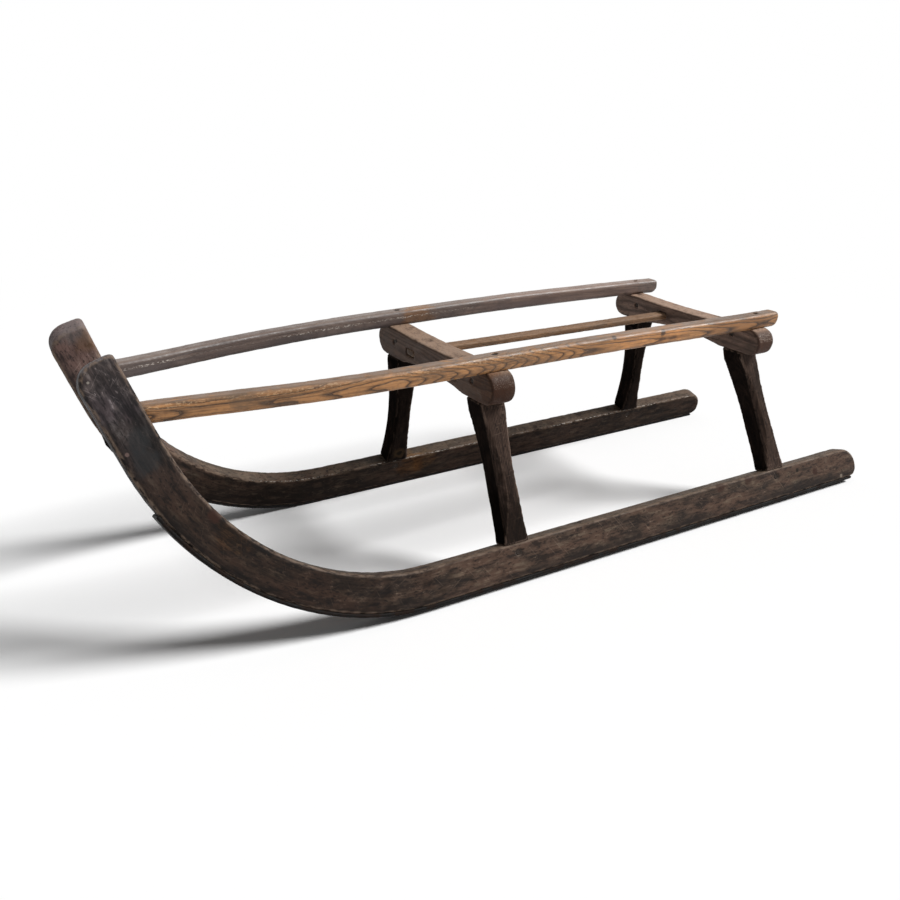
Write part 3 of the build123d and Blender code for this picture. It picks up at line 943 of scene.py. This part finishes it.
@dataclass
class Runners:
    """The two plank runners with their uprights, which have sprung back a little."""

    finishes: dict[Hand, WoodFinish] = field(default_factory=lambda: {Hand.LEFT: DARK, Hand.RIGHT: DARK_FAR})
    spring_back: float = 0.0026
    upright_x: float = 0.3  # ahead of it, the plank bends up
    upright_z: tuple[float, float] = (0.12, 0.32)  # where the leaning back begins and is full

    def build(self) -> None:
        """Make, wear and dress both runners."""
        for hand, finish in self.finishes.items():
            skin = Skin(f"runner_{hand.word}", f"plank_{hand.word}", 1.7 + 0.5 * hand.value)
            self._spring(skin)
            self._follow_bend(skin, SideFrame(hand))
            dress(skin.piece, finish.material(), "dark_wood", skin.node)

    def _spring(self, skin: Skin) -> None:
        """Lean the upright back, more so toward its tip."""
        points = skin.points
        low, high = self.upright_z
        rise = np.clip((points[:, 2] - low) / (high - low), 0.0, 1.0) ** 2
        rise = np.where(points[:, 0] > self.upright_x, rise, 0.0)
        points[:, 0] -= self.spring_back * rise
        points[:, 2] -= 0.5 * self.spring_back * rise
        skin.move(points)

    def _follow_bend(self, skin: Skin, side: SideFrame) -> None:
        """Lay the grain along the sole, round the bend and up the upright."""
        forward, height, through = side.flat(skin.points)
        ahead = forward - side.bend_x
        below = side.sole_radius - height
        turn = np.clip(np.arctan2(ahead, below), 0.0, math.pi / 2 - side.lean)
        reach = ahead * np.sin(turn) + below * np.cos(turn)
        past = ahead * np.cos(turn) - below * np.sin(turn)
        run = np.cos(turn)[:, None] * np.array([1.0, 0.0, 0.0]) + np.sin(turn)[:, None] * side.up
        skin.lay_grain(side.bend_x + side.sole_radius * turn + past, side.sole_radius - reach, through, run)


@dataclass
class Rails:
    """The two bent side rails: the left one golden and the right one grey."""

    finishes: dict[Hand, WoodFinish] = field(
        default_factory=lambda: {Hand.LEFT: RAIL_GOLD, Hand.RIGHT: RAIL_GREY}
    )
    figure_x: tuple[float, ...] = (-0.42, -0.03, 0.21, 0.42)  # long lines, close arches, long flames
    figure_run: tuple[float, ...] = (-0.12, -0.03, 0.21, 0.15)
    sag_x: tuple[float, float] = (-0.1, 0.25)  # the front part has sunk and the rear part risen
    sag_by: tuple[float, float] = (-0.0007, 0.0009)
    tongue_x: tuple[float, float] = (0.466, 0.472)
    tongue_out: float = 0.002  # keeps the tongues inside the uprights

    def build(self) -> None:
        """Make, wear and dress both rails."""
        for hand, finish in self.finishes.items():
            seed = 0.4 + 0.3 * hand.value
            node = f"rail_{hand.word}"
            skin = Skin(node, f"seat_{node}", seed, FINE_VOXEL, chip=0.0006, grow=0.0006)
            points = skin.points
            points[:, 2] -= np.interp(points[:, 0], self.sag_x, self.sag_by)
            points[:, 1] += hand.value * np.interp(points[:, 0], self.tongue_x, (0.0, self.tongue_out))
            skin.move(points)
            line = [np.polyval(np.polyfit(points[:, 0], points[:, axis], 6), points[:, 0]) for axis in (1, 2)]
            outward = hand.value * (points[:, 1] - line[0])
            figure = np.interp(points[:, 0], self.figure_x, self.figure_run)
            forward = np.array([1.0, 0.0, 0.0])
            skin.lay_grain(points[:, 0], points[:, 2] - line[1], outward, forward, figure)
            dress(skin.piece, finish.material(), "rail_wood", skin.node)


@dataclass
class Sticks:
    """A family of straight wooden pieces of one finish."""

    nodes: tuple[str, ...]
    prefix: str
    finish: WoodFinish
    slot: str
    out: Place
    grow: float = 0.0003

    def build(self) -> None:
        """Make, wear and dress each piece."""
        material = self.finish.material()
        for index, node in enumerate(self.nodes):
            seed = 0.37 * index + 0.11 * len(node)
            skin = Skin(node, f"{self.prefix}_{node}", seed, FINE_VOXEL, chip=0.0007, grow=self.grow)
            self._settle(skin)
            skin.lay_straight_grain(self.out)
            dress(skin.piece, material, self.slot, node)

    def _settle(self, skin: Skin) -> None:
        """Leave the piece as its solid lies."""


@dataclass
class Legs(Sticks):
    """The four legs, whose heads have crept inward under the crossbars, each by its own amount."""

    creep: dict[str, float] = field(
        default_factory=lambda: {
            "leg_front_left": 0.0005,
            "leg_rear_left": 0.003,
            "leg_front_right": 0.0045,
            "leg_rear_right": 0.0015,
        }
    )

    def _settle(self, skin: Skin) -> None:
        """Lean the leg's head a little toward the middle of the sled."""
        points = skin.points
        low, high = points[:, 2].min(), points[:, 2].max()
        inward = -np.sign(points[:, 1].mean())
        points[:, 1] += inward * self.creep[skin.node] * (points[:, 2] - low) / (high - low)
        skin.move(points)


@dataclass
class Shoes:
    """The iron strips under the soles, and the nails that hold them."""

    finish: IronFinish = IronFinish()
    burr: float = 0.0007  # how far the hammered strip has spread past its solid
    nail_gap: float = 0.075
    nail_count: int = 13
    first_nail: float = 0.285
    nail_radius: float = 0.0034
    nail_height: float = 0.0011
    nail_taper: float = 0.62
    nail_bevel: float = 0.0003

    def build(self) -> None:
        """Make, wear and dress both shoes and their nails."""
        material = self.finish.material()
        for hand in Hand:
            node = f"shoe_{hand.word}"
            seed = 2.3 + hand.value
            skin = Skin(node, f"iron_{node}", seed, FINE_VOXEL, 1, chip=0.0004, wave=0.0002, grow=self.burr)
            points = skin.points
            points[:, 2] = np.maximum(points[:, 2], 0.0)
            skin.move(points)
            dress(skin.piece, material, "iron", node)
            dress(self._nails(SideFrame(hand)), material, "iron")

    def _nails(self, side: SideFrame) -> bpy.types.Object:
        """A row of hammered nail heads along the strip."""
        shape = bmesh.new()
        for step in range(self.nail_count):
            point, normal = side.on_shoe(self.first_nail - step * self.nail_gap)
            place = Matrix.Translation(point) @ normal.to_track_quat("Z", "Y").to_matrix().to_4x4()
            bmesh.ops.create_cone(
                shape,
                cap_ends=True,
                segments=14,
                radius1=self.nail_radius,
                radius2=self.nail_taper * self.nail_radius,
                depth=self.nail_height,
                matrix=place,
            )
        bevel_rims(shape, self.nail_bevel)
        return linked(mesh_from(shape, f"shoe_nails_{side.hand.word}"))


@dataclass
class Pegs:
    """Whittled pegs: nine-sided, tapered, and driven a little below the wood."""

    finish: WoodFinish = PEG
    sides: int = 9
    recess: float = 0.0008
    bevel: float = 0.0006
    taper: tuple[float, float] = (0.97, 0.93)  # of the hole's radius, at the two ends
    hollow: float = 0.35  # of the hole's radius, from the rim to the dished middle
    dish: float = 0.0003
    twist: float = 0.4  # from one peg to the next

    def build(self) -> None:
        """Make and dress a peg for each peg node."""
        material = self.finish.material()
        for index, (node, line) in enumerate(peg_lines().items()):
            piece = self._peg(node, line, index)
            dress(piece, material, "peg_wood", node)
            piece.data.shade_flat()

    def _peg(self, node: str, line: PegLine, index: int) -> bpy.types.Object:
        """One peg in its node's place, with its grain along it."""
        radius = line.radius
        turn = Vector(line.axis).to_track_quat("Z", "Y").to_matrix().to_4x4()
        turn = turn @ Matrix.Rotation(self.twist * index, 4, "Z")
        shape = bmesh.new()
        bmesh.ops.create_cone(
            shape,
            cap_ends=True,
            segments=self.sides,
            radius1=self.taper[0] * radius,
            radius2=self.taper[1] * radius,
            depth=2.0 * (line.half_length - self.recess),
        )
        bevel_rims(shape, self.bevel)
        caps = caps_of(shape)
        bmesh.ops.inset_individual(shape, faces=caps, thickness=self.hollow * radius, depth=-self.dish)
        bmesh.ops.transform(shape, matrix=Matrix.Translation(Vector(line.centre)) @ turn, verts=shape.verts)
        piece = linked(mesh_from(shape, f"whittled_{node}"))
        places = rows(piece.data.vertices, "co") - line.centre
        inverse = np.array(turn.to_3x3().inverted())
        local = places @ inverse.T
        store(piece.data, "grain", np.stack([local[:, 2] + 0.7 * index, local[:, 0], local[:, 1]], axis=1))
        store(piece.data, "end", np.abs(rows(piece.data.vertices, "normal") @ line.axis))
        return piece


@dataclass
class Studio:
    """Floor, lamps and camera."""

    camera_place: Place = (0.6319, 0.9439, 0.5555)
    camera_yaw: float = math.radians(-120.55)
    camera_pitch: float = math.radians(22.21)
    camera_roll: float = math.radians(0.15)
    lens: float = 36.78
    sun_from: Place = (-0.606, 0.356, 0.712)
    sun_size: float = math.radians(22.0)
    sun_power: float = 4.05
    room_light: float = 0.12
    floor_white: float = 0.97
    floor_radius: float = 12.0
    fade_start: float = 1.0
    fade_end: float = 2.0

    def build(self) -> None:
        """Make the stage and its light."""
        self._floor()
        self._world()
        self._sun()
        self._camera()

    def _seen(self, graph: Graph) -> Socket:
        """One for the rays that show the background: straight, mirrored or through glass."""
        path = graph.add("ShaderNodeLightPath").outputs
        mirrored = graph.math("MAXIMUM", path["Is Glossy Ray"], path["Is Transmission Ray"])
        return graph.math("MAXIMUM", path["Is Camera Ray"], mirrored)

    def _floor(self) -> None:
        """A white floor that keeps the shadow near the sled and is plain white far from it."""
        shape = bmesh.new()
        bmesh.ops.create_circle(shape, cap_ends=True, segments=96, radius=self.floor_radius)
        mesh = mesh_from(shape, "floor")
        made, graph, _ = surface("white_floor")
        graph.tree.nodes.clear()
        paper = graph.add("ShaderNodeBsdfDiffuse", {"Color": (*(3 * [self.floor_white]), 1.0)}).outputs[0]
        white = graph.add("ShaderNodeEmission").outputs[0]
        place = graph.add("ShaderNodeTexCoord").outputs["Object"]
        length = graph.add("ShaderNodeVectorMath", {0: place}, operation="LENGTH")
        far = graph.spread(length.outputs["Value"], self.fade_start, self.fade_end)
        share = graph.product(far, self._seen(graph))
        blend = graph.add("ShaderNodeMixShader", {0: share, 1: paper, 2: white})
        graph.add("ShaderNodeOutputMaterial", {"Surface": blend.outputs[0]})
        mesh.materials.append(made)
        linked(mesh)

    def _world(self) -> None:
        """A soft grey room, white where it is seen."""
        world = bpy.data.worlds.new("room")
        bpy.context.scene.world = world
        world.use_nodes = True
        graph = Graph(world.node_tree)
        light = graph.spread(self._seen(graph), 0.0, 1.0, self.room_light, 1.0)
        graph.fill(world.node_tree.nodes["Background"], {"Color": (1.0, 1.0, 1.0, 1.0), "Strength": light})

    def _sun(self) -> None:
        """One broad, soft light from behind the sled's left side."""
        lamp = bpy.data.lights.new("sun", "SUN")
        lamp.energy = self.sun_power
        lamp.angle = self.sun_size
        made = linked(lamp)
        made.rotation_euler = (-Vector(self.sun_from)).to_track_quat("-Z", "Y").to_euler()

    def _camera(self) -> None:
        """Stand the camera where the sled is seen from its front left."""
        lens = bpy.data.cameras.new("camera")
        lens.lens = self.lens
        lens.sensor_width = 36.0
        lens.clip_start = 0.05
        yaw, pitch = self.camera_yaw, self.camera_pitch
        level = math.cos(pitch)
        ahead = Vector((level * math.cos(yaw), level * math.sin(yaw), -math.sin(pitch)))
        turn = ahead.to_track_quat("-Z", "Y").to_matrix() @ Matrix.Rotation(self.camera_roll, 3, "Z")
        made = linked(lens)
        made.matrix_world = Matrix.Translation(Vector(self.camera_place)) @ turn.to_4x4()
        bpy.context.scene.camera = made


def main() -> None:
    """Build the sled's pieces and the studio."""
    logging.basicConfig(level=logging.INFO)
    bpy.context.scene.view_settings.view_transform = "Standard"
    hands = [hand.word for hand in Hand]
    ends = [end.value for end in End]
    slats = tuple(f"slat_{hand}" for hand in hands)
    Studio().build()
    Runners().build()
    for hand, finish in ((Hand.LEFT, LEG), (Hand.RIGHT, LEG_FAR)):
        legs = tuple(f"leg_{end}_{hand.word}" for end in ends)
        Legs(legs, "post", finish, "leg_wood", (1.0, 0.0, 0.0), grow=0.0007).build()
    for end, finish in ((End.FRONT, BAR), (End.REAR, BAR_REAR)):
        Sticks((f"crossbar_{end.value}",), "bolster", finish, "bar_wood", (1.0, 0.0, 0.3)).build()
    Rails().build()
    Sticks(slats, "board", SLAT, "slat_wood", (0.0, 0.0, 1.0)).build()
    Shoes().build()
    Pegs().build()


if __name__ == "__main__":
    main()
